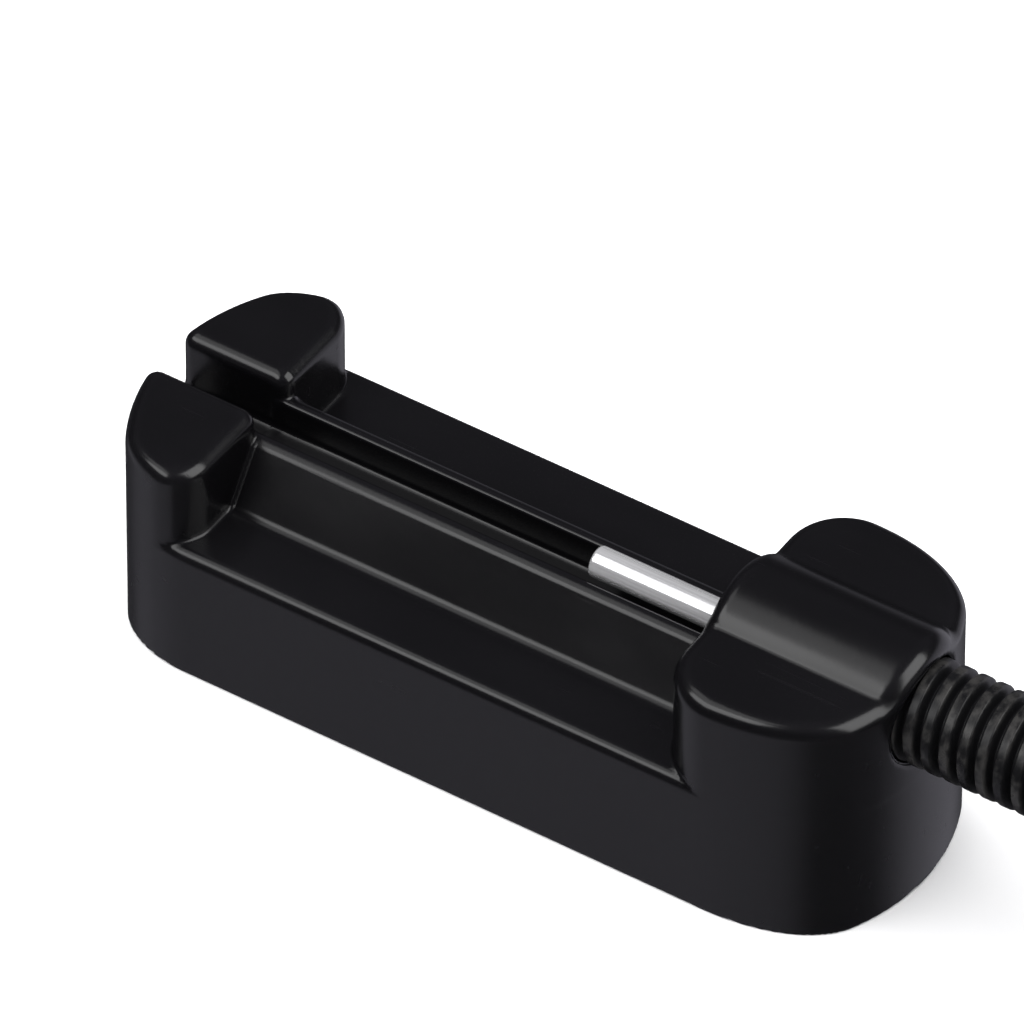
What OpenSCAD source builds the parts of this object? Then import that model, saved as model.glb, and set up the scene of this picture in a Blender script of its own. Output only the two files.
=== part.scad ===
// Bracelet link pin press: a moulded block with a bracelet channel, a steel guide
// sleeve, and an ejector needle that a hand-turned screw drives out of the sleeve.
// The screw axis lies along X. The block stands on z = 0, with x = y = 0 at its middle.

/* [Moulded block] */
// Length of the block from the tip of one bowed end to the tip of the other
body_l = 65; // [62:0.5:70]
// Width of the block
body_w = 23; // [22:0.5:26]
// Plan radius of the two bowed end faces
end_r = 16.5; // [14:0.5:24]
// Height of the front sill and the rear ledge beside the rib
sill_z = 11.8; // [10:0.1:12.5]
// Height of the tower's flat shoulders
shoulder_z = 20.2; // [19.5:0.1:21]
// Height of the two horns at the far end
horn_z = 18.4; // [17.5:0.1:20]
// Position along X of the horns' inner faces
horn_x = -23.1; // [-25:0.1:-22]
// Position along X of the tower's face over the channel
tower_x = 16.2; // [15:0.1:17]
// Plan radius of the tower's two corners over the channel
tower_corner_r = 4.7; // [3:0.1:6]
// Plan radius where the tower's bowed end runs into a side
nose_corner_r = 4.3; // [2:0.1:6]
// Plan radius of the horns' corners beside the channel
horn_corner_r = 3.2; // [1:0.1:4]
// Plan radius where the horns' bowed end runs into a side
horn_outer_r = 2.9; // [0.8:0.1:4]

/* [Rib and groove] */
// Height of the rib's two rims
rib_z = 16.2; // [15.5:0.1:16.4]
// Half width of the rib across its rims
rib_top_half = 2.55; // [2.2:0.05:3.5]
// Half width of the rib at its foot
rib_foot_half = 5.8; // [5:0.1:7]
// Width of the groove along the rib and between the horns
groove_w = 3.4; // [3:0.1:4.6]
// Height of the groove's floor
groove_z = 13.4; // [12.5:0.1:14]

/* [Screw line] */
// Height of the screw axis above the base
axis_z = 16.5; // [16:0.1:17.5]
// Radius of the round hump over the screw bore
hump_r = 5.8; // [5.5:0.1:6.5]
// Crest diameter of the drive screw's thread
screw_d = 8; // [7:0.1:8.5]
// Pitch of the thread
pitch = 1.5; // [1.25:0.05:1.75]
// Depth of the thread from crest to root
thread_depth = 0.8; // [0.6:0.05:0.9]
// Screw travel from rest to the full reach of the needle
travel = 7.5; // [5:0.5:7.5]
// Length of thread left showing between the block and the knob at rest
screw_out = 15.5; // [12:0.5:20]

/* [Needle and sleeve] */
// Outside diameter of the guide sleeve
sleeve_d = 2.45; // [2:0.05:2.6]
// How far the guide sleeve stands out of the tower
sleeve_out = 11.8; // [9:0.1:13]
// Diameter of the ejector needle
needle_d = 0.92; // [0.8:0.02:1]
// How far the needle's tip sits back inside the sleeve at rest
needle_back = 0.5; // [0.2:0.1:1]

/* [Knob] */
// Diameter of the knob's grip
knob_d = 16; // [14:0.5:18]
// Length of the knob, hub included
knob_l = 18; // [16:0.5:20]
// Number of finger flutes round the grip
flutes = 12; // [8:1:16]

/* [Hidden] */
$fn = 96;

// Running clearance, as a radius, between a turning or sliding piece and its bore
run_clear = 0.04;
// Overrun of a cutting shape past the surface it cuts
over = 1;

body_top = axis_z + hump_r;
nose_x = body_l / 2;
nose_centre = nose_x - end_r;

// Half width of the rib at the height of the groove's floor
rib_floor_half = rib_foot_half
    - (rib_foot_half - rib_top_half) * (groove_z - sill_z) / (rib_z - sill_z);

// Screw bore in the tower: a blind bore whose floor carries the sleeve's flange
bore_r = screw_d / 2 + run_clear;
bore_floor_x = 19.5;
bore_mouth_r = bore_r + 0.6;
bore_mouth_l = 0.6;

// Shallow panels under the block, either side of a flat middle strip
panel_depth = 0.8;
panel_strip = 8;
panel_end = 27;
panel_half_w = 8.5;

sleeve_tip_x = tower_x - sleeve_out;
sleeve_bore_r = needle_d / 2 + run_clear;
flange_d = 4.6;
flange_l = 0.8;
sleeve_chamfer = 0.25;

// The screw's nose stops a little short of the flange at the end of the travel
nose_gap = 0.2;
screw_nose_x = bore_floor_x + flange_l + nose_gap + travel;
knob_x = nose_x + screw_out;
root_r = screw_d / 2 - thread_depth;

// Pocket in the screw's nose: collar, needle head, thrust pad, in that order
pocket_d = 4.6;
collar_l = 1.2;
head_d = 3.4;
head_l = 1;
head_play = 0.03;
pad_l = 1;
head_x = screw_nose_x + collar_l + head_play;
pad_x = head_x + head_l + head_play;
pocket_end_x = pad_x + pad_l;
needle_tip_x = sleeve_tip_x + needle_back;
tip_cone = 0.15;

// Plain shank that the knob sits on
shank_r = 3;
shank_l = 12;
hub_r = 5.5;
hub_l = 4.5;
flute_r = 1.7;
flute_depth = 0.7;
grip_edge = 1.2;
cross_pin_d = 1.6;
cross_pin_l = 10.4;
cross_pin_x = knob_x + hub_l / 2;
cap_d = 10;
cap_l = 1.6;
cap_sunk = 0.4;

// Places a shape drawn along +Z onto the screw axis, starting at x
module on_axis(x) {
    translate([x, 0, axis_z]) rotate([0, 90, 0]) children();
}

// Round bar on the screw axis from x, of length l and radius r
module bar(x, l, r) {
    on_axis(x) cylinder(h = l, r = r);
}

// Plan of one bowed end at +X: a slice of a large circle, its two corners rounded
module bowed_end(corner_r) {
    half_w = body_w / 2;
    round_y = half_w - corner_r;
    round_x = sqrt(pow(end_r - corner_r, 2) - pow(round_y, 2));
    turn = atan2(round_y, round_x);
    outside = end_r + over;
    translate([nose_centre, 0]) difference() {
        intersection() {
            circle(r = end_r, $fn = 180);
            translate([0, -half_w]) square([end_r, body_w]);
        }
        for (side = [-1, 1]) scale([1, side]) difference() {
            polygon([[round_x, round_y],
                     [round_x, half_w + over],
                     [end_r, half_w + over],
                     [outside * cos(turn), outside * sin(turn)]]);
            translate([round_x, round_y]) circle(r = corner_r);
        }
    }
}

// Plan of the waste outside a rounded corner that points to +X and +Y
module corner_waste(r) {
    translate([-r, -r]) difference() {
        square(r + over);
        circle(r = r);
    }
}

module block_plan() {
    translate([-nose_centre, -body_w / 2]) square([2 * nose_centre, body_w]);
    bowed_end(nose_corner_r);
    mirror([1, 0]) bowed_end(horn_outer_r);
}

module tower_plan() {
    difference() {
        intersection() {
            block_plan();
            translate([tower_x, -body_w]) square([body_l, 2 * body_w]);
        }
        for (side = [-1, 1]) translate([tower_x, side * body_w / 2])
            scale([-1, side]) corner_waste(tower_corner_r);
    }
}

module horn_plan() {
    difference() {
        intersection() {
            block_plan();
            translate([horn_x - body_l, -body_w]) square([body_l, 2 * body_w]);
        }
        for (side = [-1, 1]) translate([horn_x, side * body_w / 2])
            scale([1, side]) corner_waste(horn_corner_r);
    }
}

// Bar along X from the horns to the tower, with the cross-section of its child
module along_rib() {
    translate([horn_x, 0, 0]) rotate([90, 0, 90])
        linear_extrude(tower_x - horn_x) children();
}

// Groove between the horns; along the rib it runs on between the two rims
module groove() {
    translate([-body_l, -groove_w / 2, groove_z])
        cube([body_l + horn_x + over, groove_w, body_top]);
}

module base_panels() {
    for (side = [-1, 1]) scale([side, 1, 1])
        translate([panel_strip / 2, -panel_half_w, -over])
            cube([panel_end - panel_strip / 2, 2 * panel_half_w, panel_depth + over]);
}

module body() {
    color([0.07, 0.07, 0.08]) difference() {
        union() {
            linear_extrude(sill_z) block_plan();
            linear_extrude(horn_z) horn_plan();
            linear_extrude(shoulder_z) tower_plan();
            intersection() {
                bar(tower_x, body_l, hump_r);
                linear_extrude(body_top + over) tower_plan();
            }
        }
        groove();
        base_panels();
        bar(bore_floor_x, body_l, bore_r);
        on_axis(nose_x - bore_mouth_l)
            cylinder(h = bore_mouth_l + over, r1 = bore_r, r2 = bore_mouth_r + over);
        bar(tower_x - over, body_l / 4, sleeve_d / 2);
    }
}

// Lower part of the rib, from the sills up to the groove's floor
module rib_foot() {
    color([0.07, 0.07, 0.08]) along_rib() polygon([
        [-rib_foot_half, sill_z], [rib_foot_half, sill_z],
        [rib_floor_half, groove_z], [-rib_floor_half, groove_z]]);
}

// Rim on one side of the groove, its outer face in line with the foot's flank
module rib_rim(side) {
    along_rib() scale([side, 1]) polygon([
        [groove_w / 2, groove_z], [rib_floor_half, groove_z],
        [rib_top_half, rib_z], [groove_w / 2, rib_z]]);
}

module rib_rim_front() {
    color([0.07, 0.07, 0.08]) rib_rim(-1);
}

module rib_rim_rear() {
    color([0.07, 0.07, 0.08]) rib_rim(1);
}

// Steel tube with a flange that seats on the floor of the screw bore
module guide_sleeve() {
    r = sleeve_d / 2;
    flange_end = bore_floor_x + flange_l - sleeve_tip_x;
    color([0.78, 0.78, 0.8]) on_axis(sleeve_tip_x) rotate_extrude() polygon([
        [sleeve_bore_r, 0], [r - sleeve_chamfer, 0], [r, sleeve_chamfer],
        [r, flange_end - flange_l], [flange_d / 2, flange_end - flange_l],
        [flange_d / 2, flange_end], [sleeve_bore_r, flange_end]]);
}

// Headed needle, its tip slightly coned
module ejector_needle() {
    r = needle_d / 2;
    shaft_l = head_x - needle_tip_x;
    color([0.7, 0.7, 0.72]) on_axis(needle_tip_x) rotate_extrude() polygon([
        [0, 0], [r - tip_cone, 0], [r, tip_cone], [r, shaft_l],
        [head_d / 2, shaft_l], [head_d / 2, shaft_l + head_l], [0, shaft_l + head_l]]);
}

// Hard disc behind the needle's head
module thrust_pad() {
    color([0.6, 0.6, 0.62]) bar(pad_x, pad_l, pocket_d / 2);
}

// Ring pressed into the screw's nose, which keeps the needle's head in
module needle_collar() {
    color([0.72, 0.6, 0.3]) difference() {
        bar(screw_nose_x, collar_l, pocket_d / 2);
        bar(screw_nose_x - over, collar_l + 2 * over, sleeve_bore_r + run_clear);
    }
}

// Outline of one thread ridge from radius and distance along the screw
function ridge(z) = [
    [root_r, z + 0.1 * pitch], [screw_d / 2, z + 0.4 * pitch],
    [screw_d / 2, z + 0.6 * pitch], [root_r, z + 0.9 * pitch]];

module drive_screw() {
    thread_l = knob_x - screw_nose_x;
    turns = floor(thread_l / pitch) - 1;
    color([0.1, 0.1, 0.11]) difference() {
        on_axis(screw_nose_x) rotate_extrude() polygon(concat(
            [[0, 0], [root_r, 0]],
            [for (i = [0 : turns - 1], p = ridge((i + 0.4) * pitch)) p],
            [[root_r, thread_l], [shank_r, thread_l],
             [shank_r, thread_l + shank_l], [0, thread_l + shank_l]]));
        bar(screw_nose_x - over, pocket_end_x - screw_nose_x + over, pocket_d / 2);
        translate([cross_pin_x, 0, axis_z - body_w]) cylinder(h = 2 * body_w, d = cross_pin_d);
    }
}

module knob() {
    r = knob_d / 2;
    grip_x = knob_x + hub_l;
    grip_l = knob_l - hub_l;
    flute_at = r - flute_depth + flute_r;
    color([0.08, 0.08, 0.09]) difference() {
        on_axis(knob_x) rotate_extrude() polygon([
            [0, 0], [hub_r - 0.3, 0], [hub_r, 0.3], [hub_r, hub_l], [r - grip_edge, hub_l],
            [r, hub_l + grip_edge], [r, knob_l - grip_edge], [r - grip_edge, knob_l],
            [0, knob_l]]);
        for (i = [0 : flutes - 1]) translate([0, 0, axis_z]) rotate([i * 360 / flutes, 0, 0])
            translate([grip_x - over, 0, flute_at]) rotate([0, 90, 0])
                cylinder(h = grip_l + 2 * over, r = flute_r);
        bar(knob_x - over, shank_l + over, shank_r);
        bar(knob_x + knob_l - cap_l, cap_l + over, cap_d / 2);
        translate([cross_pin_x, 0, axis_z - body_w]) cylinder(h = 2 * body_w, d = cross_pin_d);
    }
}

module knob_cross_pin() {
    color([0.7, 0.7, 0.72]) translate([cross_pin_x, 0, axis_z - cross_pin_l / 2])
        cylinder(h = cross_pin_l, d = cross_pin_d);
}

module knob_cap() {
    color([0.12, 0.12, 0.13]) bar(knob_x + knob_l - cap_l, cap_l - cap_sunk, cap_d / 2);
}

body();
rib_foot();
rib_rim_front();
rib_rim_rear();
guide_sleeve();
ejector_needle();
thrust_pad();
needle_collar();
drive_screw();
knob();
knob_cross_pin();
knob_cap();
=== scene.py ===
"""Bracelet link pin press: the moulded block, its guide sleeve and needle, the drive
screw and the knob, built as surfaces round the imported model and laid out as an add-on."""
import math

import bpy
import numpy as np
from bpy.props import FloatProperty, FloatVectorProperty, IntProperty, PointerProperty
from bpy.types import Operator, Panel, PropertyGroup
from mathutils import Matrix, Quaternion, Vector


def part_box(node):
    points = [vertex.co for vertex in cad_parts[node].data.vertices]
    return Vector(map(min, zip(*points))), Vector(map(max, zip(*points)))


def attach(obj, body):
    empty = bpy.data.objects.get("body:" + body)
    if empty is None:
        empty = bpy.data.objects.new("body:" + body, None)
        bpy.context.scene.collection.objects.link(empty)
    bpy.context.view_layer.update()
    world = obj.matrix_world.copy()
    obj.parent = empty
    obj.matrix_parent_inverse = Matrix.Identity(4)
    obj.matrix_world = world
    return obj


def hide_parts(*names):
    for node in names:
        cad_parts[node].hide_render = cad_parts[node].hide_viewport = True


bl_info = {
    "name": "Bracelet pin press",
    "version": (1, 0, 0),
    "blender": (4, 5, 0),
    "location": "View3D > Sidebar > Pin Press",
    "description": "Builds the pieces, the finishes and the studio of a bracelet link pin press",
    "category": "Object",
}

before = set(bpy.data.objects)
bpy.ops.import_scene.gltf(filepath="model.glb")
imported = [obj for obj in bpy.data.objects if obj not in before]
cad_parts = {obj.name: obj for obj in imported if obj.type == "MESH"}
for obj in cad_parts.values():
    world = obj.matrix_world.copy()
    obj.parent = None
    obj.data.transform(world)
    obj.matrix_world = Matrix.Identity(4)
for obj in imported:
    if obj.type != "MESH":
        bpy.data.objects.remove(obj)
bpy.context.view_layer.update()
MM = 0.001


def node_box(node):
    """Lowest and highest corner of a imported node, as two arrays in metres."""
    lo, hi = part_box(node)
    return np.array(lo), np.array(hi)


BLOCK_LO, BLOCK_HI = node_box("body")
SLEEVE_LO, SLEEVE_HI = node_box("guide_sleeve")
NEEDLE_LO, NEEDLE_HI = node_box("ejector_needle")
PAD_LO, PAD_HI = node_box("thrust_pad")
COLLAR_LO, COLLAR_HI = node_box("needle_collar")
SCREW_LO, SCREW_HI = node_box("drive_screw")
KNOB_LO, KNOB_HI = node_box("knob")
PIN_LO, PIN_HI = node_box("knob_cross_pin")
CAP_LO, CAP_HI = node_box("knob_cap")
AXIS_Z = float(SCREW_LO[2] + SCREW_HI[2]) / 2


def length(name, text, default):
    """A length property in metres."""
    return FloatProperty(name=name, description=text, default=default, unit="LENGTH", min=0.0,
                         precision=5)


def colour(name, text, default):
    """A linear RGB colour property."""
    return FloatVectorProperty(name=name, description=text, default=default, subtype="COLOR",
                               min=0.0, max=1.0)


def factor(name, text, default, high=1.0):
    """A plain number from 0 to high."""
    return FloatProperty(name=name, description=text, default=default, min=0.0, max=high)


class PinPressBlock(PropertyGroup):
    """Sizes of the moulded block."""
    sill_z: length("Sill height", "Height of the front sill and the rear ledge", 11.8 * MM)
    shoulder_z: length("Shoulder height", "Height of the tower's flat shoulders", 20.2 * MM)
    horn_z: length("Horn height", "Height of the two horns", 18.4 * MM)
    horn_gap: length("Horn face", "Distance of the horns' inner faces before the middle", 23.1 * MM)
    tower_x: length("Tower face", "Distance of the tower's face past the middle", 16.2 * MM)
    end_r: length("End bow", "Plan radius of the bowed ends", 16.5 * MM)
    nose_corner_r: length("Nose corner", "Plan radius from the bowed nose to a side", 4.3 * MM)
    horn_outer_r: length("Horn outer corner", "Plan radius from the bowed end to a side", 2.9 * MM)
    tower_corner_r: length("Tower corner", "Plan radius of the tower beside the channel", 4.7 * MM)
    horn_corner_r: length("Horn corner", "Plan radius of the horns beside the channel", 3.2 * MM)
    rib_z: length("Rib height", "Height of the rib's rims", 16.2 * MM)
    rib_top: length("Rib rim half width", "Half width of the rib across its rims", 2.55 * MM)
    rib_foot: length("Rib foot half width", "Half width of the rib at the sill", 5.8 * MM)
    groove_half: length("Groove half width", "Half width of the pin groove", 1.7 * MM)
    groove_z: length("Groove floor", "Height of the groove's floor", 13.4 * MM)
    tower_edge: length("Tower edge", "Radius of the tower's top edges", 1.35 * MM)
    horn_edge: length("Horn edge", "Radius of the horns' top edges", 1.15 * MM)
    sill_edge: length("Sill edge", "Radius of the front and rear edges at the sill", 0.9 * MM)
    bore_r: length("Bore radius", "Radius of the screw bore", 4.04 * MM)
    bore_floor: length("Bore floor", "Distance of the bore's floor past the middle", 19.5 * MM)
    step: length("Mesh step", "Edge length of the block's mesh", 0.3 * MM)


class PinPressScrew(PropertyGroup):
    """Sizes of the screw's thread."""
    pitch: length("Pitch", "Advance of the thread in one turn", 1.5 * MM)
    depth: length("Thread depth", "Height of the thread from root to crest", 0.8 * MM)
    shank_r: length("Shank radius", "Radius of the plain end inside the knob", 3.0 * MM)
    pocket_r: length("Pocket radius", "Radius of the needle pocket in the nose", 2.3 * MM)
    around: IntProperty(name="Points around", description="Points in one turn", default=128,
                        min=24)
    per_pitch: IntProperty(name="Points per pitch", description="Rings in one pitch", default=30,
                           min=8)


class PinPressKnob(PropertyGroup):
    """Sizes of the knob."""
    hub_r: length("Hub radius", "Radius of the hub at the knob's inner end", 5.5 * MM)
    hub_l: length("Hub length", "Length of the hub", 4.5 * MM)
    flutes: IntProperty(name="Flutes", description="Finger flutes round the grip", default=12,
                        min=3)
    flute_r: length("Flute radius", "Radius of each flute", 1.7 * MM)
    flute_depth: length("Flute depth", "How deep each flute cuts the grip", 0.7 * MM)
    edge_r: length("Grip edge", "Radius of the grip's two end edges", 1.2 * MM)
    cap_depth: length("Cap recess", "Depth of the recess that holds the cap", 1.6 * MM)
    step: length("Mesh step", "Edge length of the knob's mesh", 0.2 * MM)


class PinPressFinish(PropertyGroup):
    """Colours and roughness of the finishes."""
    block: colour("Block plastic", "Moulded black of the block", (0.0021, 0.0020, 0.0024))
    block_rough: factor("Block roughness", "Roughness of the block's surface", 0.20)
    knob: colour("Knob plastic", "Moulded black of the knob", (0.0045, 0.0044, 0.0050))
    oxide: colour("Black oxide", "Black oxide of the screw", (0.0042, 0.0042, 0.0047))
    steel: colour("Steel", "Bare steel of the sleeve and the needle", (0.80, 0.80, 0.81))
    brass: colour("Brass", "Turned brass of the collar", (0.62, 0.42, 0.16))


class PinPressStage(PropertyGroup):
    """Camera and studio."""
    azimuth: FloatProperty(name="Azimuth", default=math.radians(33.095), subtype="ANGLE",
                           unit="ROTATION",
                           description="Camera angle round the tool, from the front")
    elevation: FloatProperty(name="Elevation", description="Camera angle above the horizon",
                             default=math.radians(43.525), subtype="ANGLE", unit="ROTATION")
    roll: FloatProperty(name="Roll", description="Camera turn about its line of sight",
                        default=math.radians(0.119), subtype="ANGLE", unit="ROTATION")
    lens: FloatProperty(name="Lens", description="Focal length", default=728.15,
                        subtype="DISTANCE_CAMERA")
    distance: length("Camera distance", "From the camera to the aim point", 1.472)
    aim: FloatVectorProperty(name="Aim", description="Point at the middle of the picture",
                             default=(-2.727 * MM, 0.0, 17.522 * MM), subtype="TRANSLATION",
                             unit="LENGTH")
    floor: colour("Floor", "Colour of the pale floor", (0.92, 0.92, 0.925))


# ---------------------------------------------------------------- distance fields

def round_meet(a, b, r):
    """Common part of two solids given by signed distances, its edge rounded to radius r:
    min(-r, max(a, b)) plus the length of the parts of a + r and b + r above zero."""
    return np.minimum(-r, np.maximum(a, b)) + np.hypot(np.maximum(a + r, 0), np.maximum(b + r, 0))


def round_join(a, b, r):
    """Both solids together, the corner between them filled to radius r."""
    return -round_meet(-a, -b, r)


def round_cut(a, b, r):
    """Solid a without solid b, its new edges rounded to radius r."""
    return round_meet(a, -b, r)


def surface_net(field, lo, hi, step):
    """Quads on the zero surface of field(x, y, z) inside the box lo..hi. Each grid cell that
    the surface crosses gets one point, the mean of its edge crossings, and each crossed grid
    edge joins its four cells' points in a quad, turned to face the positive side."""
    axes = [np.arange(lo[k] - 1.53 * step, hi[k] + 2.5 * step, step) for k in range(3)]
    values = field(axes[0][:, None, None], axes[1][None, :, None], axes[2][None, None, :])
    cells = tuple(n - 1 for n in values.shape)
    count = np.zeros(cells)
    total = np.zeros((3,) + cells)
    crossed = []
    for axis in range(3):
        low = np.take(values, range(cells[axis]), axis)
        high = np.take(values, range(1, cells[axis] + 1), axis)
        cross = (low < 0) != (high < 0)
        crossed.append((cross, low < 0))
        where = np.where(cross, low / np.where(cross, low - high, 1), 0)
        others = [k for k in range(3) if k != axis]
        for shift in ((0, 0), (0, 1), (1, 0), (1, 1)):
            window = [slice(None)] * 3
            for k, s in zip(others, shift):
                window[k] = slice(s, s + cells[k])
            seen = cross[tuple(window)]
            count += seen
            total[axis] += where[tuple(window)] * seen
            for k, s in zip(others, shift):
                total[k] += s * seen
    index = np.full(cells, -1)
    active = np.nonzero(count)
    index[active] = np.arange(len(active[0]))
    points = np.stack([axes[k][active[k]] + total[k][active] / count[active] * step
                       for k in range(3)], 1)
    quads = []
    for axis, (cross, starts_inside) in enumerate(crossed):
        b, c = [(axis + 1) % 3, (axis + 2) % 3]
        at = np.stack(np.nonzero(cross), 1)
        at = at[(at[:, b] > 0) & (at[:, c] > 0) & (at[:, b] < cells[b]) & (at[:, c] < cells[c])]
        ring = []
        for back_b, back_c in ((1, 1), (0, 1), (0, 0), (1, 0)):
            cell = at.copy()
            cell[:, b] -= back_b
            cell[:, c] -= back_c
            ring.append(index[tuple(cell.T)])
        ring = np.stack(ring, 1)
        outward = starts_inside[tuple(at.T)]
        quads.append(np.where(outward[:, None], ring, ring[:, ::-1]))
    return points, np.concatenate(quads)


def slope(field, points, reach):
    """Gradient of the field at the points, from central differences."""
    grad = np.empty_like(points)
    for k in range(3):
        ahead, behind = points.copy(), points.copy()
        ahead[:, k] += reach
        behind[:, k] -= reach
        grad[:, k] = (field(*ahead.T) - field(*behind.T)) / (2 * reach)
    return grad


def settle(field, points, quads, step, rounds=3):
    """Evens out the points and puts them on the surface: each round moves a point most of the
    way to the mean of its neighbours, then back along the gradient until the field is zero."""
    ends = np.concatenate([quads[:, [k, (k + 1) % 4]] for k in range(4)])
    both = np.concatenate([ends, ends[:, ::-1]])
    degree = np.bincount(both[:, 0], minlength=len(points))[:, None]
    for lap in range(rounds + 1):
        if lap:
            mean = np.stack([np.bincount(both[:, 0], points[both[:, 1], k], len(points))
                             for k in range(3)], 1) / degree
            points = points + 0.7 * (mean - points)
        for _ in range(3):
            grad = slope(field, points, 0.05 * step)
            size = np.maximum((grad ** 2).sum(1), 0.25)
            move = (field(*points.T) / size)[:, None] * grad
            far = np.linalg.norm(move, axis=1, keepdims=True)
            points = points - move * np.minimum(1, step / np.maximum(far, 1e-12))
    return points


def edge_worn(field, points, normals, reach):
    """How convex the surface is at each point, from 0 on a flat to 1 on an edge of radius
    reach: the field a little way in along the surface, compared with the flat's."""
    helper = np.where(np.abs(normals[:, 2:3]) > 0.7, [[1.0, 0, 0]], [[0, 0, 1.0]])
    side = np.cross(normals, helper)
    side /= np.linalg.norm(side, axis=1, keepdims=True)
    other = np.cross(normals, side)
    rise = sum(field(*(points + sign * reach * way).T) for way in (side, other)
               for sign in (-1, 1))
    return np.clip(rise / reach, 0, 1)


def solid(name, field, lo, hi, step, worn_reach):
    """Mesh object of a distance field, with exact normals and an "edge" attribute."""
    points, quads = surface_net(field, lo, hi, step)
    points = settle(field, points, quads, step)
    normals = slope(field, points, 0.15 * step)
    normals /= np.maximum(np.linalg.norm(normals, axis=1, keepdims=True), 1e-9)
    obj = mesh_object(name, points, quads)
    worn = edge_worn(field, points, normals, worn_reach)
    obj.data.attributes.new("edge", "FLOAT", "POINT").data.foreach_set("value", worn)
    obj.data.normals_split_custom_set_from_vertices(normals.tolist())
    return obj


# ---------------------------------------------------------------- meshes

def mesh_object(name, points, faces):
    """Smooth-shaded mesh object from an array of points and an array of quads, where a quad
    that names its last point twice is a triangle."""
    faces = np.asarray(faces)
    three = faces[:, 2] == faces[:, 3]
    sizes = np.where(three, 3, 4)
    keep = np.ones(faces.shape, bool)
    keep[three, 3] = False
    starts = np.concatenate([[0], np.cumsum(sizes)[:-1]])
    mesh = bpy.data.meshes.new(name)
    mesh.vertices.add(len(points))
    mesh.vertices.foreach_set("co", np.asarray(points, np.float32).ravel())
    mesh.loops.add(int(sizes.sum()))
    mesh.loops.foreach_set("vertex_index", faces[keep].astype(np.int32))
    mesh.polygons.add(len(faces))
    mesh.polygons.foreach_set("loop_start", starts.astype(np.int32))
    mesh.update(calc_edges=True)
    mesh.validate()
    mesh.shade_smooth()
    obj = bpy.data.objects.new(name, mesh)
    bpy.context.scene.collection.objects.link(obj)
    return obj


def rounded(corners, closed=False, arc=5):
    """Outline through corners (along, out, radius), each corner replaced by an arc of its
    radius: a circle tangent to both sides, stepped in arc equal turns."""
    corners = np.array(corners, float)
    out = []
    count = len(corners)
    for i, (x, y, r) in enumerate(corners):
        here = np.array([x, y])
        if r <= 0 or (not closed and i in (0, count - 1)):
            out.append(here)
            continue
        before = corners[i - 1][:2] - here
        after = corners[(i + 1) % count][:2] - here
        before /= np.linalg.norm(before)
        after /= np.linalg.norm(after)
        half = math.acos(np.clip(before @ after, -1, 1)) / 2
        centre = here + (before + after) / np.linalg.norm(before + after) * r / math.sin(half)
        start = here + before * r / math.tan(half) - centre
        stop = here + after * r / math.tan(half) - centre
        a0 = math.atan2(start[1], start[0])
        turn = (math.atan2(stop[1], stop[0]) - a0 + math.pi) % (2 * math.pi) - math.pi
        angles = a0 + turn * np.linspace(0, 1, arc + 1)
        out.extend(centre + r * np.stack([np.cos(angles), np.sin(angles)], 1))
    return np.array(out)


def spun(name, rings, closed=False):
    """Mesh of rings of points, shape (rings, around, 3): each ring joins the next, and the
    last joins the first when closed. Otherwise the first and last rings are poles."""
    count, around, _ = rings.shape
    here = np.arange(count if closed else count - 1)[:, None]
    turn = np.arange(around)[None, :]
    nxt = (turn + 1) % around
    index = np.arange(count * around).reshape(count, around)
    if not closed:
        index[0], index[-1] = index[0, 0], index[-1, 0]
    ahead = (here + 1) % count
    a, b = index[here, turn], index[here, nxt]
    c, d = index[ahead, nxt], index[ahead, turn]
    faces = np.stack([a, b, c, d], -1).reshape(-1, 4)
    top = faces[:, 0] == faces[:, 1]
    faces[top] = faces[top][:, [1, 2, 3, 3]]
    used, inverse = np.unique(faces, return_inverse=True)
    points = rings.reshape(-1, 3)[used]
    return mesh_object(name, points, inverse.reshape(-1, 4))


def lathe(name, profile, around=96, closed=False, centre=(0.0, AXIS_Z), upright=False):
    """Surface of revolution: each profile point (along, out) becomes a circle of radius out
    about the axis. The axis lies along X, or stands along Z when upright, and centre gives
    its other two coordinates."""
    angle = np.linspace(0, 2 * math.pi, around, endpoint=False)[None, :]
    along, out = profile[:, 0:1], profile[:, 1:2]
    level = np.broadcast_to(along, (len(profile), around))
    u, v = centre[0] + out * np.cos(angle), centre[1] + out * np.sin(angle)
    rings = np.stack([u, v, level] if upright else [level, u, v], -1)
    return spun(name, rings, closed)


def finish_piece(obj, body, slot, material, *nodes):
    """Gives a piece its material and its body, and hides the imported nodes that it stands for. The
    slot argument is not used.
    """
    obj.data.materials.append(material)
    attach(obj, body)
    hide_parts(*nodes)
    return obj


# ---------------------------------------------------------------- finishes

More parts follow.
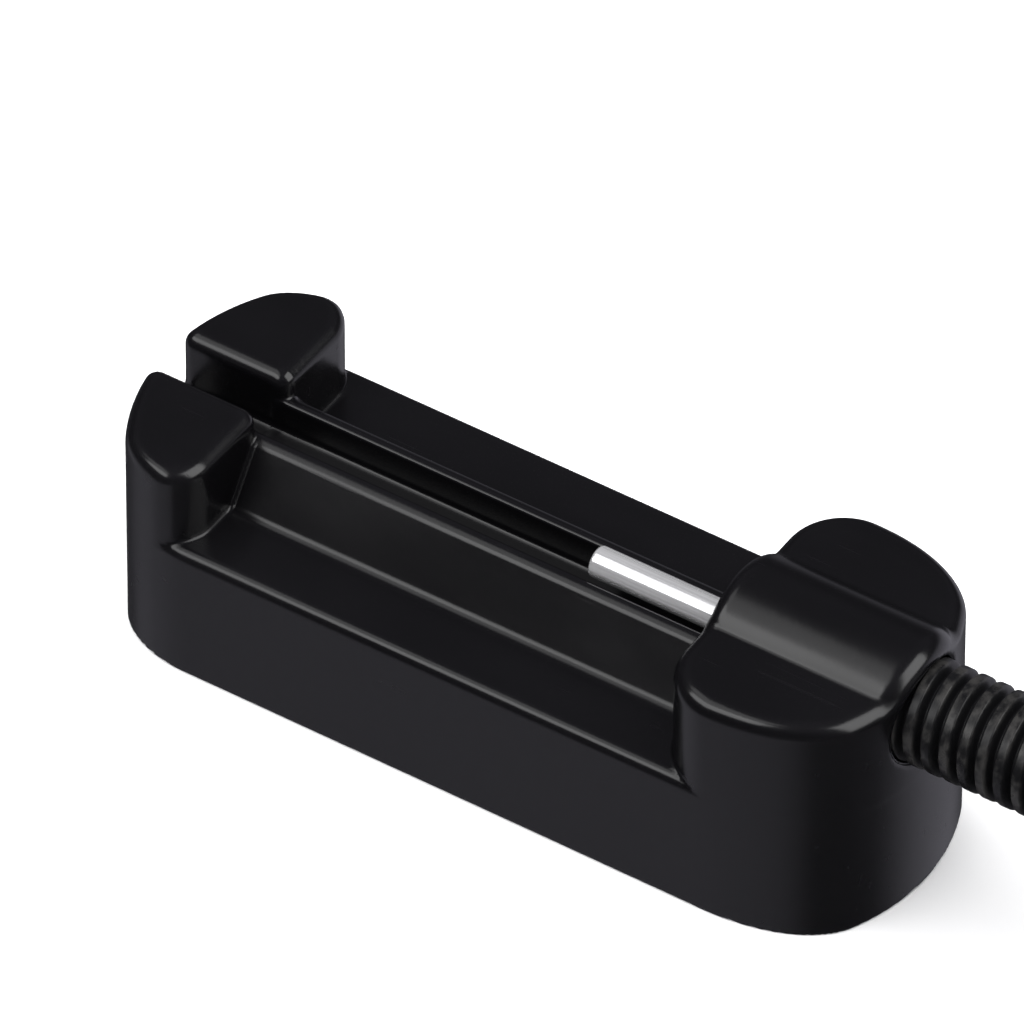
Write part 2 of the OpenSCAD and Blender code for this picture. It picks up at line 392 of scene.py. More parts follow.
class Nodes:
    """Small helper that adds and links the nodes of one material."""

    def __init__(self, name):
        old = bpy.data.materials.get(name)
        if old:
            bpy.data.materials.remove(old)
        self.material = bpy.data.materials.new(name)
        self.material.use_nodes = True
        self.tree = self.material.node_tree
        self.shader = self.tree.nodes["Principled BSDF"]
        self.place = self.add("ShaderNodeTexCoord").outputs["Object"]

    def add(self, kind, **values):
        node = self.tree.nodes.new(kind)
        for key, value in values.items():
            setattr(node, key, value)
        return node

    def link(self, source, target):
        self.tree.links.new(source, target)

    def scaled(self, scale, turn=(0, 0, 0)):
        """Object coordinates turned, then stretched by scale."""
        mapping = self.add("ShaderNodeMapping")
        mapping.inputs["Scale"].default_value = scale
        mapping.inputs["Rotation"].default_value = turn
        self.link(self.place, mapping.inputs["Vector"])
        return mapping.outputs["Vector"]

    def noise(self, scale, detail=2.0, turn=(0, 0, 0), rough=0.5):
        """Noise whose cells are 1 / scale metres in size along each axis."""
        node = self.add("ShaderNodeTexNoise")
        node.inputs["Scale"].default_value = 1.0
        node.inputs["Detail"].default_value = detail
        node.inputs["Roughness"].default_value = rough
        self.link(self.scaled(scale, turn), node.inputs["Vector"])
        return node.outputs["Fac"]

    def ramp(self, source, low, high, to_low, to_high):
        """The source from low..high carried to to_low..to_high and held there."""
        node = self.add("ShaderNodeMapRange")
        node.interpolation_type = "SMOOTHSTEP"
        for key, value in zip(("From Min", "From Max", "To Min", "To Max"),
                              (low, high, to_low, to_high)):
            node.inputs[key].default_value = value
        self.link(source, node.inputs["Value"])
        return node.outputs["Result"]

    def math(self, kind, a, b):
        node = self.add("ShaderNodeMath", operation=kind)
        for socket, value in zip(node.inputs, (a, b)):
            if isinstance(value, (int, float)):
                socket.default_value = value
            else:
                self.link(value, socket)
        return node.outputs["Value"]

    def mix(self, amount, a, b):
        """Colour a where amount is 0, colour b where it is 1."""
        node = self.add("ShaderNodeMix", data_type="RGBA")
        self.link(amount, node.inputs["Factor"])
        for socket, value in ((node.inputs[6], a), (node.inputs[7], b)):
            if isinstance(value, tuple):
                socket.default_value = (*value, 1.0)
            else:
                self.link(value, socket)
        return node.outputs[2]

    def bump(self, height, strength, distance, base=None):
        node = self.add("ShaderNodeBump")
        node.inputs["Strength"].default_value = strength
        node.inputs["Distance"].default_value = distance
        self.link(height, node.inputs["Height"])
        if base:
            self.link(base, node.inputs["Normal"])
        return node.outputs["Normal"]

    def attribute(self, name):
        return self.add("ShaderNodeAttribute", attribute_name=name).outputs["Fac"]

    def hairlines(self, seed_turns, scale, fine):
        """Sparse thin scratches: noise stretched hard one way, kept only where it peaks and
        where a broad noise lets it through, in one layer for each turn."""
        total = None
        for turn in seed_turns:
            lines = self.ramp(self.noise(scale, 1.0, turn), 0.70, 0.76, 0.0, 1.0)
            patch = self.ramp(self.noise((fine, fine, fine), 2.0, turn), 0.5, 0.62, 0.0, 1.0)
            layer = self.math("MULTIPLY", lines, patch)
            total = layer if total is None else self.math("MAXIMUM", total, layer)
        return total


def shade(colour_value, lift):
    """A colour brightened by lift, for worn or dusty places."""
    return tuple(min(1.0, c * lift) for c in colour_value)


def block_plastic(finish):
    """Satin-gloss moulded black: orange peel, flow marks, rubbed edges and faint scratches."""
    n = Nodes("block_plastic")
    base = tuple(finish.block)
    edge = n.ramp(n.attribute("edge"), 0.1, 0.7, 0.0, 1.0)
    flow = n.noise((60, 140, 90), 3.0)
    grain = n.noise((2600, 2600, 2600), 2.0)
    scratches = n.hairlines(((0.3, 0.2, 0.5), (1.1, 0.4, -0.7)), (70, 2400, 900), 160)
    tone = n.mix(n.ramp(flow, 0.35, 0.7, 0.0, 0.55), base, shade(base, 1.5))
    tone = n.mix(n.math("MULTIPLY", edge, 0.35), tone, shade(base, 2.6))
    tone = n.mix(n.math("MULTIPLY", scratches, 0.12), tone, shade(base, 4.0))
    n.link(tone, n.shader.inputs["Base Color"])
    rough = n.ramp(flow, 0.3, 0.75, finish.block_rough, finish.block_rough + 0.07)
    rough = n.math("SUBTRACT", rough, n.math("MULTIPLY", edge, 0.05))
    rough = n.math("ADD", rough, n.math("MULTIPLY", scratches, 0.08))
    n.link(rough, n.shader.inputs["Roughness"])
    peel = n.bump(n.noise((420, 420, 420), 2.0), 0.10, 0.00012)
    peel = n.bump(grain, 0.12, 0.00002, peel)
    peel = n.bump(n.math("SUBTRACT", 1.0, scratches), 0.08, 0.00002, peel)
    n.link(peel, n.shader.inputs["Normal"])
    n.shader.inputs["IOR"].default_value = 1.5
    return n.material


def knob_plastic(finish, name="knob_plastic", grain_size=3200, rough_low=0.42):
    """Fine-textured moulded black with hand polish on its ridges."""
    n = Nodes(name)
    base = tuple(finish.knob)
    edge = n.ramp(n.attribute("edge"), 0.05, 0.6, 0.0, 1.0)
    smudge = n.noise((180, 180, 180), 3.0)
    tone = n.mix(n.ramp(smudge, 0.35, 0.7, 0.0, 0.6), base, shade(base, 1.6))
    tone = n.mix(n.math("MULTIPLY", edge, 0.35), tone, shade(base, 2.4))
    n.link(tone, n.shader.inputs["Base Color"])
    rough = n.ramp(smudge, 0.3, 0.7, rough_low, rough_low + 0.12)
    n.link(n.math("SUBTRACT", rough, n.math("MULTIPLY", edge, 0.12)), n.shader.inputs["Roughness"])
    grain = n.noise((grain_size, grain_size, grain_size), 3.0)
    n.link(n.bump(grain, 0.35, 0.00004), n.shader.inputs["Normal"])
    return n.material


def black_oxide(finish):
    """Black oxide on rolled steel: crests rubbed towards bare metal, dull roots, fine grain
    round the thread."""
    n = Nodes("black_oxide_steel")
    base = tuple(finish.oxide)
    crest = n.ramp(n.attribute("edge"), 0.55, 1.0, 0.0, 1.0)
    patch = n.ramp(n.noise((700, 500, 500), 4.0, rough=0.65), 0.42, 0.66, 0.0, 1.0)
    worn = n.math("MULTIPLY", crest, patch)
    tone = n.mix(n.math("MULTIPLY", worn, 0.55), shade(base, 1.0), (0.05, 0.048, 0.046))
    n.link(tone, n.shader.inputs["Base Color"])
    n.link(n.math("MULTIPLY", worn, 0.20), n.shader.inputs["Metallic"])
    n.shader.inputs["Specular IOR Level"].default_value = 0.28
    rough = n.ramp(n.noise((900, 900, 900), 3.0), 0.3, 0.7, 0.34, 0.46)
    n.link(n.math("SUBTRACT", rough, n.math("MULTIPLY", crest, 0.08)), n.shader.inputs["Roughness"])
    drawn = n.noise((5200, 700, 700), 2.0)
    n.link(n.bump(drawn, 0.22, 0.00003), n.shader.inputs["Normal"])
    return n.material


def bare_steel(finish, name, rough_low, streak):
    """Polished steel drawn along the screw axis: long fine streaks in gloss and height."""
    n = Nodes(name)
    base = tuple(finish.steel)
    lines = n.noise((90, 5200, 5200), 3.0)
    cloud = n.noise((260, 260, 260), 3.0)
    tone = n.mix(n.ramp(lines, 0.3, 0.75, 0.0, 0.8), shade(base, 0.86), shade(base, 1.12))
    tone = n.mix(n.ramp(cloud, 0.55, 0.8, 0.0, 0.5), tone, shade(base, 0.7))
    n.link(tone, n.shader.inputs["Base Color"])
    n.shader.inputs["Metallic"].default_value = 0.72
    rough = n.ramp(lines, 0.3, 0.7, rough_low, rough_low + 0.10)
    n.link(n.math("ADD", rough, n.ramp(cloud, 0.5, 0.8, 0.0, 0.08)), n.shader.inputs["Roughness"])
    n.link(n.bump(lines, streak, 0.00002), n.shader.inputs["Normal"])
    return n.material


def turned_brass(finish):
    """Brass with the fine rings that a lathe leaves round the axis."""
    n = Nodes("turned_brass")
    base = tuple(finish.brass)
    rings = n.noise((9000, 500, 500), 2.0)
    stain = n.noise((800, 800, 800), 3.0)
    n.link(n.mix(n.ramp(stain, 0.4, 0.75, 0.0, 0.7), base, shade(base, 0.55)),
           n.shader.inputs["Base Color"])
    n.shader.inputs["Metallic"].default_value = 1.0
    n.link(n.ramp(rings, 0.3, 0.7, 0.22, 0.36), n.shader.inputs["Roughness"])
    n.link(n.bump(rings, 0.3, 0.00002), n.shader.inputs["Normal"])
    return n.material


# ---------------------------------------------------------------- pieces

def block_plan(p, x, y):
    """Plan of the block: a strip that two large circles close off, corners rounded."""
    half_l, half_w = BLOCK_HI[0], BLOCK_HI[1]
    centre = half_l - p.end_r
    strip = np.abs(y) - half_w
    nose = np.hypot(np.maximum(x - centre, 0), y) - p.end_r
    tail = np.hypot(np.maximum(-x - centre, 0), y) - p.end_r
    return round_meet(round_meet(strip, nose, p.nose_corner_r), tail, p.horn_outer_r)


def block_field(p):
    """Signed distance of the moulded block: a slab up to the sills, plus horns, tower with
    its round hump, and a rib with sloping flanks, less the groove, bores and base panels. The
    fillets round the tower's and the horns' feet fade out towards the outer walls."""
    hump_r = BLOCK_HI[2] - AXIS_Z
    foot_fillet, fade_depth = 0.35 * MM, 0.8 * MM
    overlap, rib_below = MM, 2 * MM
    lean = np.array([p.rib_z - p.sill_z, p.rib_foot - p.rib_top])
    lean = lean / np.linalg.norm(lean)

    def field(x, y, z):
        side = np.abs(y)
        plan = block_plan(p, x, y)
        fillet = foot_fillet * np.clip(-plan / fade_depth, 0, 1)
        groove = round_meet(side - p.groove_half, p.groove_z - z, 0.5 * MM)
        slab = round_meet(plan, z - p.sill_z, p.sill_edge)
        horn_plan = round_meet(plan, x + p.horn_gap, p.horn_corner_r)
        horns = round_cut(round_meet(horn_plan, z - p.horn_z, p.horn_edge), groove, p.horn_edge)
        hump = np.hypot(y, z - AXIS_Z) - hump_r
        top = round_join(z - p.shoulder_z, hump, 0.2 * MM)
        tower_plan = round_meet(plan, p.tower_x - x, p.tower_corner_r)
        tower = round_meet(tower_plan, top, p.tower_edge)
        flank = (side - p.rib_foot) * lean[0] + (z - p.sill_z) * lean[1]
        rib = round_cut(round_meet(z - p.rib_z, flank, 0.45 * MM), groove, 0.3 * MM)
        rib = np.maximum(rib, np.maximum(-p.horn_gap - overlap - x, x - p.tower_x - overlap))
        rib = np.maximum(rib, p.sill_z - rib_below - z)
        whole = round_join(slab, rib, foot_fillet)
        whole = round_join(round_join(whole, tower, fillet), horns, fillet)
        return with_bores(p, under_panels(whole, x, y, z), x, y, z)

    return field


def under_panels(whole, x, y, z):
    """Squares off the underside, with two shallow panels and the round ejector marks."""
    panel_end, strip_half, panel_half_w, panel_depth = 27 * MM, 4 * MM, 8.5 * MM, 0.8 * MM
    mark_x, mark_apart, mark_y, mark_r, mark_top = (
        15.5 * MM, 7.5 * MM, 5 * MM, 1.8 * MM, 1.05 * MM)
    corner, edge = 1.5 * MM, 0.3 * MM
    whole = round_meet(whole, -z, edge)
    panel = round_meet(round_meet(np.abs(x) - panel_end, strip_half - np.abs(x), corner),
                       np.abs(y) - panel_half_w, corner)
    panel = round_meet(panel, z - panel_depth, edge)
    marks = np.hypot(np.abs(np.abs(x) - mark_x) - mark_apart, np.abs(y) - mark_y) - mark_r
    marks = np.maximum(marks, z - mark_top)
    return round_cut(round_cut(whole, panel, edge), marks, 0.1 * MM)


def with_bores(p, whole, x, y, z):
    """Cuts the screw bore from the nose, its mouth rounded, and the sleeve's hole."""
    from_axis = np.hypot(y, z - AXIS_Z)
    screw_bore = np.maximum(from_axis - p.bore_r, p.bore_floor - x)
    sleeve_hole_r, overrun = 1.26 * MM, 2 * MM
    sleeve_hole = np.maximum(from_axis - sleeve_hole_r, p.tower_x - overrun - x)
    return round_cut(round_cut(whole, screw_bore, 0.45 * MM), sleeve_hole, 0.15 * MM)


def make_block(p, finish):
    """The moulded block, meshed from its distance field."""
    obj = solid("moulded_block", block_field(p), BLOCK_LO, BLOCK_HI, p.step, 0.5 * MM)
    return finish_piece(obj, "block", "block_plastic", block_plastic(finish), "body", "rib_foot",
                        "rib_rim_front", "rib_rim_rear")


def make_sleeve(finish):
    """The guide sleeve: a tube with a bevelled tip, and a flange on the bore's floor."""
    tube_r = 1.225 * MM
    flange_r, flange_l = (SLEEVE_HI[1] - SLEEVE_LO[1]) / 2, 0.8 * MM
    bore_r = 0.5 * MM
    start, stop = SLEEVE_LO[0], SLEEVE_HI[0]
    outline = rounded([
        (start, bore_r, 0.12 * MM), (start, tube_r, 0.28 * MM),
        (stop - flange_l, tube_r, 0.1 * MM), (stop - flange_l, flange_r, 0.1 * MM),
        (stop, flange_r, 0.1 * MM), (stop, bore_r, 0.1 * MM)], closed=True, arc=6)
    obj = lathe("steel_guide_sleeve", outline, 96, closed=True)
    return finish_piece(obj, "block", "polished_steel",
                        bare_steel(finish, "polished_steel", 0.07, 0.18), "guide_sleeve")


def make_needle(finish):
    """The headed needle with its coned tip, and the disc and the collar round its head."""
    shaft_r, head_r = 0.46 * MM, (NEEDLE_HI[1] - NEEDLE_LO[1]) / 2
    tip, back = NEEDLE_LO[0], NEEDLE_HI[0]
    head_l = MM
    steel = bare_steel(finish, "ground_steel", 0.16, 0.3)
    needle = lathe("steel_needle", rounded([
        (tip, 0, 0), (tip, shaft_r, 0.16 * MM), (back - head_l, shaft_r, 0.15 * MM),
        (back - head_l, head_r, 0.15 * MM), (back, head_r, 0.15 * MM), (back, 0, 0)]), 48)
    finish_piece(needle, "needle", "needle_steel", steel, "ejector_needle")
    pad_r = (PAD_HI[1] - PAD_LO[1]) / 2
    pad = lathe("thrust_disc", rounded([
        (PAD_LO[0], 0, 0), (PAD_LO[0], pad_r, 0.12 * MM), (PAD_HI[0], pad_r, 0.12 * MM),
        (PAD_HI[0], 0, 0)]), 64)
    finish_piece(pad, "screw", "needle_steel", steel, "thrust_pad")
    ring_r, hole_r = (COLLAR_HI[1] - COLLAR_LO[1]) / 2, 0.54 * MM
    ring = lathe("retaining_collar", rounded([
        (COLLAR_LO[0], hole_r, 0.15 * MM), (COLLAR_LO[0], ring_r, 0.12 * MM),
        (COLLAR_HI[0], ring_r, 0.1 * MM), (COLLAR_HI[0], hole_r, 0.1 * MM)], closed=True), 64,
        closed=True)
    finish_piece(ring, "screw", "collar_brass", turned_brass(finish), "needle_collar")


def thread_shape(phase):
    """Height of the thread from 0 at its root to 1 at its crest, for a phase of 0 to 1 along
    one pitch: straight flanks between a narrow root and a broad crest, with soft corners."""
    away = np.abs((phase % 1.0) - 0.5) * 2
    flank = np.clip((0.93 - away) / 0.50, 0, 1)
    return 0.5 * flank * flank * (3 - 2 * flank) + 0.5 * flank


def make_screw(p, finish):
    """The drive screw: rings of points along a path from the bottom of the nose's pocket,
    over the thread, to the end of the shank. On the threaded length a ring's radius is the
    root plus the thread's shape at the phase x / pitch - angle / turn, a right-hand helix
    that fades in and out at its ends."""
    crest = (SCREW_HI[1] - SCREW_LO[1]) / 2
    root = crest - p.depth
    nose, tail, seat = SCREW_LO[0], SCREW_HI[0], KNOB_LO[0]
    pocket_end = PAD_HI[0]
    before = rounded([(pocket_end, 0, 0), (pocket_end, p.pocket_r, 0.05 * MM),
                      (nose, p.pocket_r, 0.15 * MM), (nose, root, 0)], arc=4)
    along = np.arange(nose + 0.05 * MM, seat, p.pitch / p.per_pitch)
    after = rounded([(seat, root, 0), (seat, p.shank_r, 0.1 * MM), (tail, p.shank_r, 0.3 * MM),
                     (tail, 0, 0)], arc=4)
    path = np.concatenate([before, np.stack([along, np.full(len(along), root)], 1), after])
    threaded = np.zeros(len(path))
    threaded[len(before):len(before) + len(along)] = 1
    angle = np.linspace(0, 2 * math.pi, p.around, endpoint=False)[None, :]
    x = path[:, 0:1]
    fade_in = np.clip((x - nose - 0.1 * MM) / (0.9 * MM), 0, 1)
    fade_out = np.clip((seat - 0.9 * MM - x) / (0.5 * MM), 0, 1)
    height = thread_shape(x / p.pitch - angle / (2 * math.pi)) * fade_in * fade_out
    height = height * threaded[:, None]
    out = path[:, 1:2] + p.depth * height
    rings = np.stack([np.broadcast_to(x, out.shape), out * np.cos(angle),
                      AXIS_Z + out * np.sin(angle)], -1)
    obj = spun("threaded_screw", rings)
    distance = np.hypot(*vertex_array(obj)[:, 1:].T - np.array([[0], [AXIS_Z]]))
    worn = np.clip((distance - root) / p.depth, 0, 1)
    obj.data.attributes.new("edge", "FLOAT", "POINT").data.foreach_set("value", worn)
    return finish_piece(obj, "screw", "black_steel", black_oxide(finish), "drive_screw")


def vertex_array(obj):
    """Vertex positions of a mesh object as an array of rows x, y, z."""
    flat = np.empty(3 * len(obj.data.vertices), np.float32)
    obj.data.vertices.foreach_get("co", flat)
    return flat.reshape(-1, 3).astype(float)


def knob_field(p):
    """Signed distance of the knob: a hub and a grip about the screw axis, less the finger
    flutes, the shank's bore, the cap's recess and the cross pin's hole."""
    start, stop = KNOB_LO[0], KNOB_HI[0]
    grip_r = (KNOB_HI[2] - KNOB_LO[2]) / 2 + 0.002 * MM
    flute_at = grip_r - p.flute_depth + p.flute_r
    cap_r = (CAP_HI[1] - CAP_LO[1]) / 2
    shank_r, shank_end = 3 * MM, SCREW_HI[0]
    pin_x, pin_r = (PIN_LO[0] + PIN_HI[0]) / 2, (PIN_HI[0] - PIN_LO[0]) / 2
    sector = 2 * math.pi / p.flutes

    def field(x, y, z):
        up = z - AXIS_Z
        out = np.hypot(y, up)
        hub = round_meet(out - p.hub_r, start - x, 0.5 * MM)
        hub = np.maximum(hub, x - start - p.hub_l - MM)
        ends = np.maximum(start + p.hub_l - x, x - stop)
        grip = round_meet(out - grip_r, ends, p.edge_r)
        around = np.arctan2(up, y)
        around = around - sector * np.round(around / sector)
        flute = np.hypot(out * np.cos(around) - flute_at, out * np.sin(around)) - p.flute_r
        grip = round_cut(grip, flute, 0.35 * MM)
        whole = round_join(grip, hub, 0.6 * MM)
        whole = round_cut(whole, np.maximum(out - cap_r, stop - p.cap_depth - x), 0.25 * MM)
        whole = np.maximum(whole, -np.maximum(out - shank_r, x - shank_end))
        return round_cut(whole, np.hypot(x - pin_x, y) - pin_r, 0.15 * MM)

    return field


def make_knob(p, finish):
    """The knob, its cross pin and its end cap."""
    grip = solid("fluted_knob", knob_field(p), KNOB_LO, KNOB_HI, p.step, 0.4 * MM)
    finish_piece(grip, "screw", "knob_plastic", knob_plastic(finish), "knob")
    pin_x, pin_r = (PIN_LO[0] + PIN_HI[0]) / 2, (PIN_HI[0] - PIN_LO[0]) / 2
    pin = lathe("cross_pin", rounded([
        (PIN_LO[2], 0, 0), (PIN_LO[2], pin_r, 0.25 * MM), (PIN_HI[2], pin_r, 0.25 * MM),
        (PIN_HI[2], 0, 0)]), 48, centre=(pin_x, 0.0), upright=True)
    finish_piece(pin, "screw", "needle_steel", bare_steel(finish, "pin_steel", 0.2, 0.3),
                 "knob_cross_pin")
    cap_r = (CAP_HI[1] - CAP_LO[1]) / 2
    face = CAP_HI[0]
    cap = lathe("knob_end_cap", rounded([
        (CAP_LO[0], 0, 0), (CAP_LO[0], cap_r, 0.1 * MM), (face - 0.15 * MM, cap_r, 0.25 * MM),
        (face - 0.1 * MM, 0.82 * cap_r, 0.1 * MM), (face - 0.35 * MM, 0.76 * cap_r, 0.15 * MM),
        (face - 0.1 * MM, 0.70 * cap_r, 0.15 * MM), (face, 0.3 * cap_r, 0.5 * MM),
        (face, 0, 0)]), 96)
    cap.data.attributes.new("edge", "FLOAT", "POINT")
    finish_piece(cap, "screw", "cap_plastic",
                 knob_plastic(finish, "cap_plastic", 5200, 0.24), "knob_cap")


# ---------------------------------------------------------------- stage

def softbox(name, azimuth, elevation, distance, size, radiance):
    """Rectangular light of size (width, height) that faces the tool from a direction, in
    degrees from the front and above the horizon. Its power is 4 x area x radiance."""
    data = bpy.data.lights.new(name, "AREA")
    data.shape = "RECTANGLE"
    data.size, data.size_y = size
    data.energy = 4 * size[0] * size[1] * radiance
    lamp = bpy.data.objects.new(name, data)
    around, up = math.radians(azimuth), math.radians(elevation)
    way = Vector((math.sin(around) * math.cos(up), -math.cos(around) * math.cos(up),
                  math.sin(up)))
    aim = Vector((0, 0, 15 * MM))
    turn = way.to_track_quat("Z", "Y").to_matrix().to_4x4()
    lamp.matrix_world = Matrix.Translation(aim + way * distance) @ turn
    bpy.context.scene.collection.objects.link(lamp)
    return lamp


def studio_world():
    """Pale to the camera. For everything else a faint glow, a little brighter overhead. Below
    the horizon there is a table as well, which glows softly to the front left and brighter
    behind to the right. Each patch fades in by the direction's dot product with a vector."""
    to_front, to_rear, to_sky, to_horizon = (
        (-0.545, -0.839, 0), (0.5, 0.866, 0), (0, 0, 1), (0, -0.236, 1))
    front_level, rear_level, table_level, dome_level, least_level = 0.27, 0.46, 0.03, 0.06, 0.035
    world = bpy.data.worlds.new("studio")
    world.use_nodes = True
    tree = world.node_tree
    tree.nodes.clear()
    add, link = tree.nodes.new, tree.links.new
    way = add("ShaderNodeTexCoord").outputs["Generated"]

    def towards(vector, start, stop):
        """0 to 1 as the direction's dot product with the vector goes from start to stop."""
        dot = add("ShaderNodeVectorMath")
        dot.operation = "DOT_PRODUCT"
        link(way, dot.inputs[0])
        dot.inputs[1].default_value = vector
        fade = add("ShaderNodeMapRange")
        fade.interpolation_type = "SMOOTHSTEP"
        fade.inputs["From Min"].default_value = start
        fade.inputs["From Max"].default_value = stop
        link(dot.outputs["Value"], fade.inputs["Value"])
        return fade.outputs["Result"]

    def combine(kind, a, b):
        node = add("ShaderNodeMath")
        node.operation = kind
        for socket, value in zip(node.inputs, (a, b)):
            if isinstance(value, float):
                socket.default_value = value
            else:
                link(value, socket)
        return node.outputs["Value"]

    front = combine("MULTIPLY", towards(to_front, 0.22, 0.60), front_level)
    rear = combine("MULTIPLY", towards(to_rear, 0.50, 0.80), rear_level)
    table = combine("ADD", combine("ADD", front, rear), table_level)
    dome = combine("MULTIPLY", towards(to_sky, 0.25, 0.60), dome_level)
    strength = combine("MULTIPLY", table, towards(to_horizon, -0.05, -0.40))
    glow, pale = add("ShaderNodeBackground"), add("ShaderNodeBackground")
    glow.inputs["Color"].default_value = (0.97, 0.95, 1.08, 1)
    strength = combine("ADD", combine("ADD", strength, dome), least_level)
    link(strength, glow.inputs["Strength"])
    pale.inputs["Color"].default_value = (0.93, 0.93, 0.935, 1)
    pick, out = add("ShaderNodeMixShader"), add("ShaderNodeOutputWorld")
    link(add("ShaderNodeLightPath").outputs["Is Camera Ray"], pick.inputs["Fac"])
    link(glow.outputs["Background"], pick.inputs[1])
    link(pale.outputs["Background"], pick.inputs[2])
    link(pick.outputs["Shader"], out.inputs["Surface"])
    bpy.context.scene.world = world


def floor_sheet(stage):
    """Round floor, its edge far outside the views: rings of points about the Z axis."""
    around = 64
    radii = np.array([0.0, 0.05, 0.15, 0.5, 2.0, 8.0])[:, None]
    angle = np.linspace(0, 2 * math.pi, around, endpoint=False)[None, :]
    flat = np.zeros((len(radii), around))
    rings = np.stack([radii * np.cos(angle), radii * np.sin(angle), flat], -1)
    index = np.arange(rings.shape[0] * around).reshape(-1, around)
    nxt = np.roll(index, -1, 1)
    faces = np.stack([index[:-1], index[1:], nxt[1:], nxt[:-1]], -1).reshape(-1, 4)
    obj = mesh_object("studio_floor", rings.reshape(-1, 3), faces)
    n = Nodes("pale_floor")
    tone = n.mix(n.ramp(n.noise((9, 9, 9), 3.0), 0.3, 0.7, 0.0, 1.0), tuple(stage.floor),
                 shade(stage.floor, 0.99))
    n.link(tone, n.shader.inputs["Base Color"])
    n.shader.inputs["Roughness"].default_value = 0.9
    n.shader.inputs["Specular IOR Level"].default_value = 0.1
    obj.data.materials.append(n.material)
    obj.visible_glossy = False


def camera(stage):
    """Camera on a long lens, aimed by azimuth, elevation and roll."""
    data = bpy.data.cameras.new("camera")
    data.lens = stage.lens
    data.sensor_width = 36.0
    data.clip_start, data.clip_end = 0.05, 20.0
    cam = bpy.data.objects.new("camera", data)
    back = Vector((math.sin(stage.azimuth) * math.cos(stage.elevation),
                   -math.cos(stage.azimuth) * math.cos(stage.elevation),
                   math.sin(stage.elevation)))
    turn = (-back).to_track_quat("-Z", "Y") @ Quaternion((0, 0, 1), stage.roll)
    cam.rotation_mode = "QUATERNION"
    cam.rotation_quaternion = turn
    cam.location = Vector(stage.aim) + back * stage.distance
    bpy.context.scene.collection.objects.link(cam)
    bpy.context.scene.camera = cam


def make_stage(stage):
    """Floor, softboxes, world and camera."""
    floor_sheet(stage)
    studio_world()
    softbox("front_softbox", -33, 41, 0.8, (0.85, 0.29), 2.3)
    softbox("front_upper_softbox", -48, 60, 0.8, (0.85, 0.30), 0.9)
    softbox("right_softbox", 100, 34, 0.8, (0.70, 0.80), 2.2)
    softbox("overhead_fill", 0, 90, 1.3, (1.6, 1.6), 3.6).visible_glossy = False
    camera(stage)
    bpy.context.scene.view_settings.view_transform = "Standard"


# ---------------------------------------------------------------- operators and panel

class PinPressMakeBlock(Operator):
    """Build the moulded block"""
    bl_idname = "pin_press.block"
    bl_label = "Moulded block"

    def execute(self, context):
        make_block(context.scene.pin_press_block, context.scene.pin_press_finish)
        return {"FINISHED"}


class PinPressMakeSleeve(Operator):
    """Build the steel guide sleeve"""
    bl_idname = "pin_press.sleeve"
    bl_label = "Guide sleeve"

    def execute(self, context):
        make_sleeve(context.scene.pin_press_finish)
        return {"FINISHED"}


class PinPressMakeNeedle(Operator):
    """Build the needle, its collar and its thrust disc"""
    bl_idname = "pin_press.needle"
    bl_label = "Needle set"

    def execute(self, context):
        make_needle(context.scene.pin_press_finish)
        return {"FINISHED"}


class PinPressMakeScrew(Operator):
    """Build the threaded drive screw"""
    bl_idname = "pin_press.screw"
    bl_label = "Drive screw"

    def execute(self, context):
        make_screw(context.scene.pin_press_screw, context.scene.pin_press_finish)
        return {"FINISHED"}


class PinPressMakeKnob(Operator):
    """Build the knob, its cross pin and its cap"""
    bl_idname = "pin_press.knob"
    bl_label = "Knob set"

    def execute(self, context):
        make_knob(context.scene.pin_press_knob, context.scene.pin_press_finish)
        return {"FINISHED"}


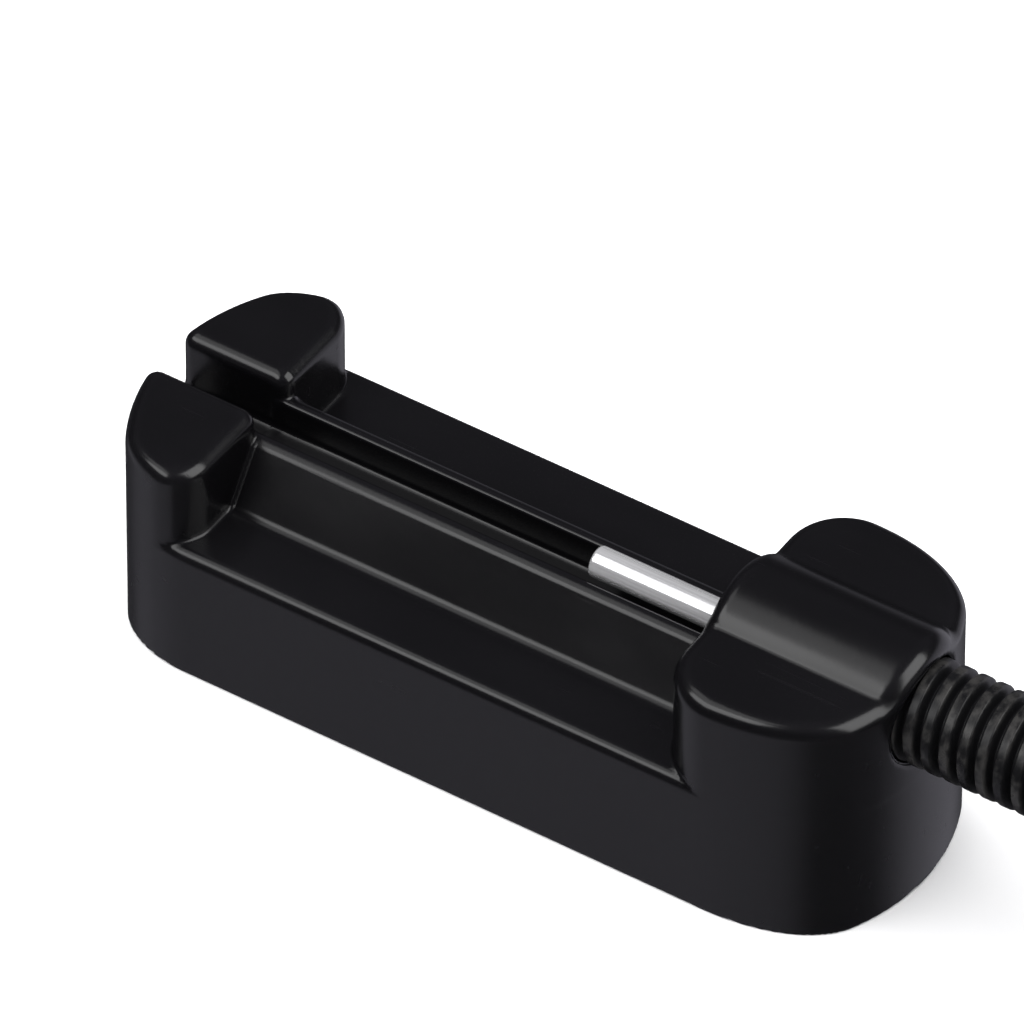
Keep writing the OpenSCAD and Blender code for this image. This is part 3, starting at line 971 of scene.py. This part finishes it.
class PinPressMakeStage(Operator):
    """Build the floor, the lights and the camera"""
    bl_idname = "pin_press.stage"
    bl_label = "Studio"

    def execute(self, context):
        make_stage(context.scene.pin_press_stage)
        return {"FINISHED"}


class VIEW3D_PT_pin_press(Panel):
    """Sidebar panel that lists the pieces and their sizes"""
    bl_label = "Pin Press"
    bl_space_type = "VIEW_3D"
    bl_region_type = "UI"
    bl_category = "Pin Press"

    def draw(self, context):
        for group, operators in PANEL_ROWS:
            box = self.layout.box()
            for operator in operators:
                box.operator(operator.bl_idname)
            settings = getattr(context.scene, group)
            for name in settings.__annotations__:
                box.prop(settings, name)


GROUPS = {
    "pin_press_block": PinPressBlock,
    "pin_press_screw": PinPressScrew,
    "pin_press_knob": PinPressKnob,
    "pin_press_finish": PinPressFinish,
    "pin_press_stage": PinPressStage,
}
PANEL_ROWS = (
    ("pin_press_block", (PinPressMakeBlock,)),
    ("pin_press_finish", (PinPressMakeSleeve, PinPressMakeNeedle)),
    ("pin_press_screw", (PinPressMakeScrew,)),
    ("pin_press_knob", (PinPressMakeKnob,)),
    ("pin_press_stage", (PinPressMakeStage,)),
)
OPERATORS = (PinPressMakeBlock, PinPressMakeSleeve, PinPressMakeNeedle, PinPressMakeScrew,
             PinPressMakeKnob, PinPressMakeStage)


def register():
    for group in GROUPS.values():
        bpy.utils.register_class(group)
    for operator in OPERATORS:
        bpy.utils.register_class(operator)
    bpy.utils.register_class(VIEW3D_PT_pin_press)
    for name, group in GROUPS.items():
        setattr(bpy.types.Scene, name, PointerProperty(type=group))


def unregister():
    for name in GROUPS:
        delattr(bpy.types.Scene, name)
    bpy.utils.unregister_class(VIEW3D_PT_pin_press)
    for operator in reversed(OPERATORS):
        bpy.utils.unregister_class(operator)
    for group in reversed(GROUPS.values()):
        bpy.utils.unregister_class(group)


def main():
    register()
    bpy.ops.pin_press.stage()
    bpy.ops.pin_press.block()
    bpy.ops.pin_press.sleeve()
    bpy.ops.pin_press.needle()
    bpy.ops.pin_press.screw()
    bpy.ops.pin_press.knob()


if __name__ == "__main__":
    main()
